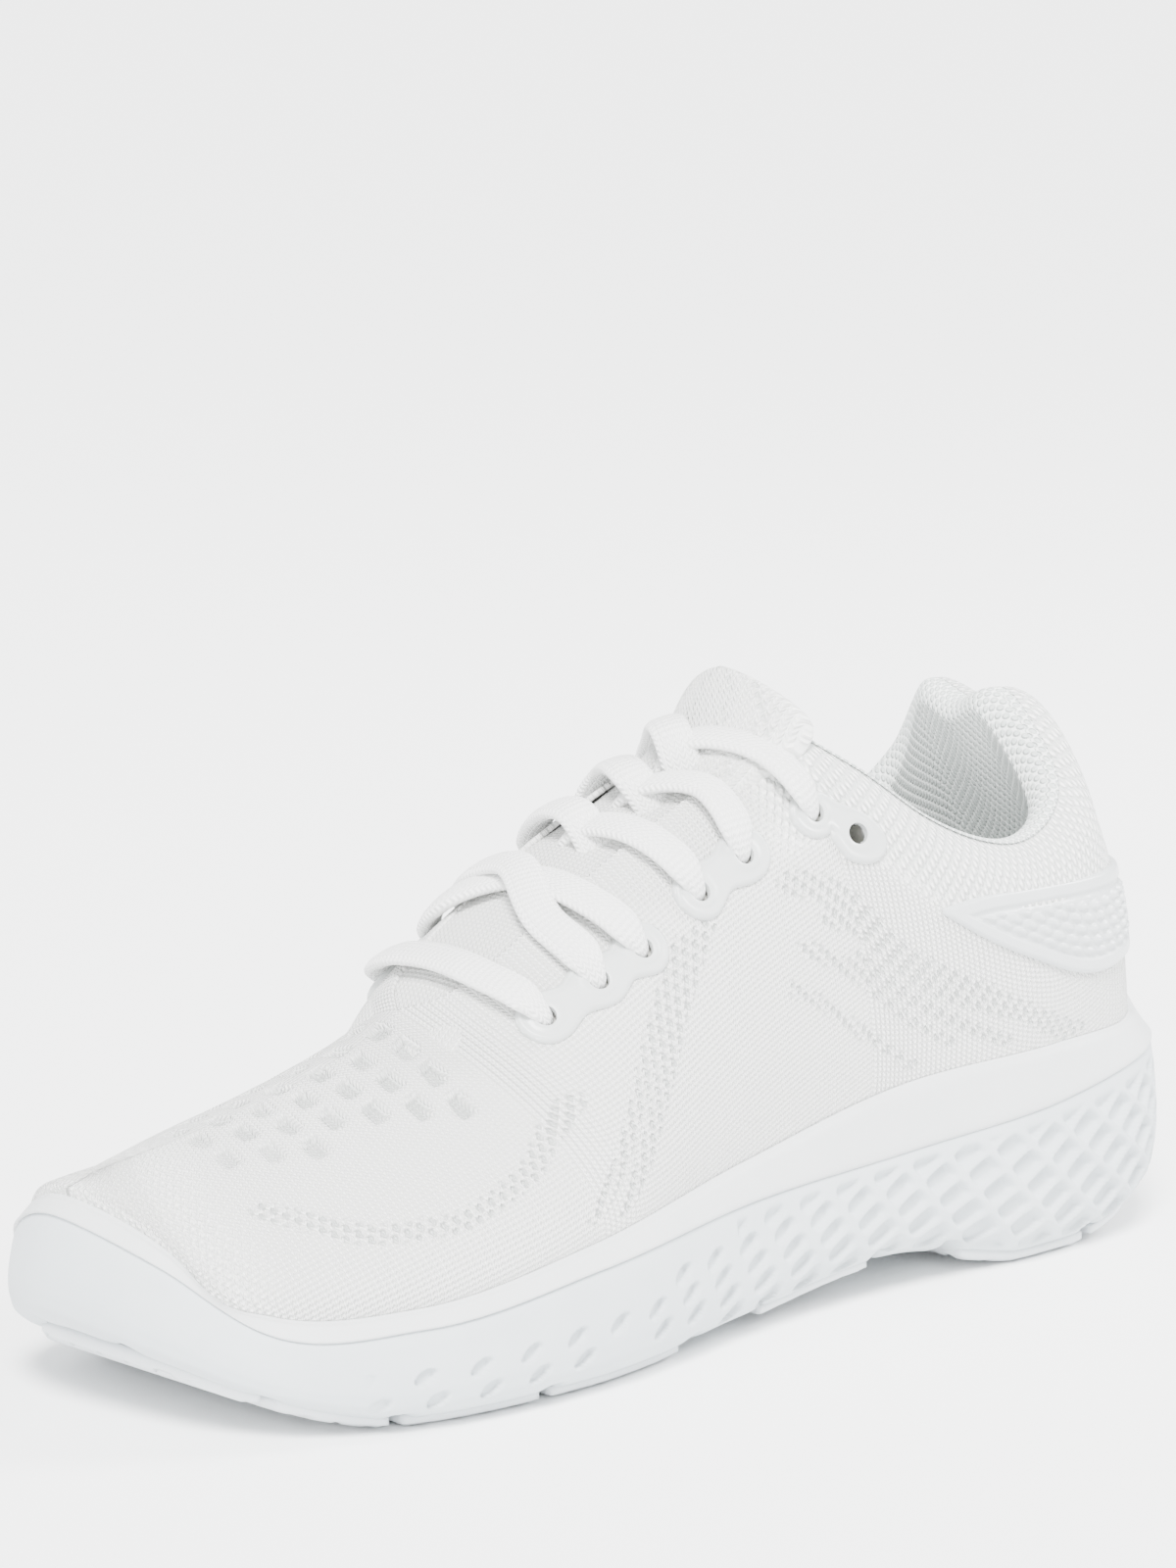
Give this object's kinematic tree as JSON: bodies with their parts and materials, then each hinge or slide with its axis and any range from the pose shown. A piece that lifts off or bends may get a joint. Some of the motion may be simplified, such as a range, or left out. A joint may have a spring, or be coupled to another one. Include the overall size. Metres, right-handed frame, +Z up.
{
  "type": "running shoe",
  "caption": "Left running shoe with a knitted upper, lobed eyestays, padded collar and tongue, laces, heel clip and a thick curved foam midsole.",
  "frame": {"origin": "under the middle of the shoe, on the surface it stands on", "axes": "+X to the toe, +Y to the lateral side, +Z up"},
  "size_m": [0.291, 0.1056, 0.1288],
  "materials": {
    "outsole_rubber": "satin",
    "midsole_foam": "satin",
    "rim_foam": "satin",
    "board": "matte",
    "insole_foam": "matte",
    "insole_cloth": "matte",
    "knit": "matte",
    "lining": "matte",
    "stiffener": "matte",
    "padding": "matte",
    "tongue_knit": "matte",
    "tongue_lining": "matte",
    "film": "satin",
    "backing": "matte",
    "clip": "satin",
    "lace": "matte",
    "aglet": "gloss"
  },
  "bodies": {
    "shoe": {"outsole_toe": "outsole_rubber", "outsole_forefoot_front": "outsole_rubber", "outsole_forefoot_middle": "outsole_rubber", "outsole_forefoot_rear": "outsole_rubber", "outsole_midfoot": "outsole_rubber", "outsole_heel_front": "outsole_rubber", "outsole_heel_back": "outsole_rubber", "midsole_base": "midsole_foam", "midsole_rim": "rim_foam", "strobel_board": "board", "insole_foam": "insole_foam", "insole_top_cloth": "insole_cloth", "upper_knit": "knit", "vamp_lining": "lining", "collar_lining": "lining", "toe_puff": "stiffener", "heel_counter": "stiffener", "collar_padding": "padding", "eyestay_lateral_lower": "film", "eyestay_lateral_middle": "film", "eyestay_lateral_top": "film", "eyestay_medial_lower": "film", "eyestay_medial_middle": "film", "eyestay_medial_top": "film", "eyestay_backing_lateral": "backing", "eyestay_backing_medial": "backing", "heel_clip": "clip", "lace": "lace", "lace_end_lateral": "lace", "lace_end_medial": "lace", "aglet_lateral": "aglet", "aglet_medial": "aglet"},
    "tongue": {"tongue_shell": "tongue_knit", "tongue_foam": "padding", "tongue_lining": "tongue_lining"}
  },
  "joints": [
    {"name": "tongue_tilt", "type": "hinge", "parent": "shoe", "child": "tongue", "pos_m": [0.0785, -0.0033, 0.053], "axis": [0, -1, 0], "range_deg": [0, 12], "stiffness_Nm_per_rad": 0.1, "springref_deg": -17.19}
  ]
}
